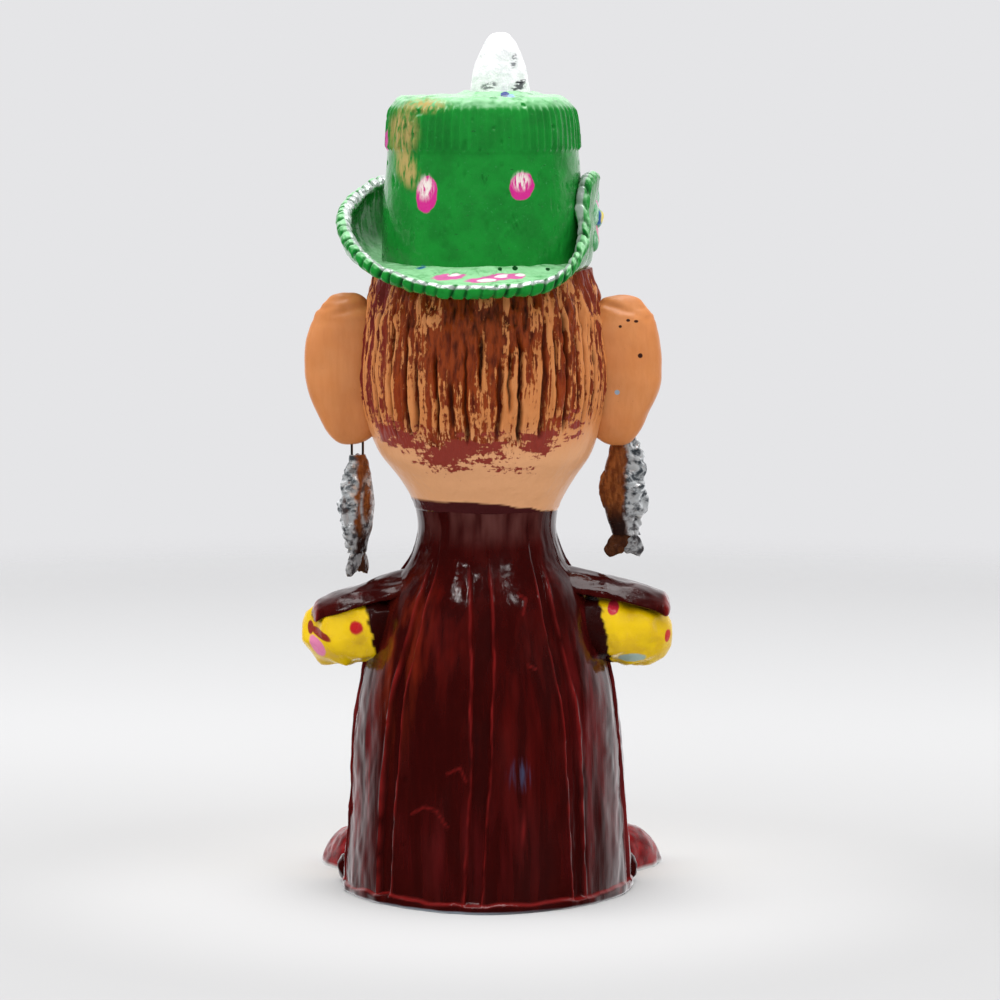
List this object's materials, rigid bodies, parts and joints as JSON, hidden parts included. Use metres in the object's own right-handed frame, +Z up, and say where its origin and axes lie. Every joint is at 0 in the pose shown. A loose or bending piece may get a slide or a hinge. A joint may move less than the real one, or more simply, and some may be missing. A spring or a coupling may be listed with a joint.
{
  "type": "ceramic statuette",
  "caption": "Hand-modelled ceramic statuette of a standing figure in a long coat and a brimmed top hat, with large ears and hanging fish earrings; stands on its flat underside.",
  "frame": {"origin": "on the floor, at the middle of the coat's flat underside, where the coat's upright axis meets it", "axes": "+Z up; the figure faces -Y, so its left is +X; the picture looks at its back, along -Y"},
  "size_m": [0.134, 0.127, 0.3117],
  "materials": {
    "painted_ceramic": "hand-painted low-fired clay under a clear glossy varnish, maroon, green, peach and yellow",
    "silver_painted_ceramic": "silver paint over dark brown on modelled clay, worn, glossy",
    "earring_wire": "soft steel wire, dulled"
  },
  "bodies": {
    "root": {"figure": "painted_ceramic", "left_fish": "silver_painted_ceramic", "right_fish": "silver_painted_ceramic", "left_earring_wire": "earring_wire", "right_earring_wire": "earring_wire"}
  },
  "joints": []
}
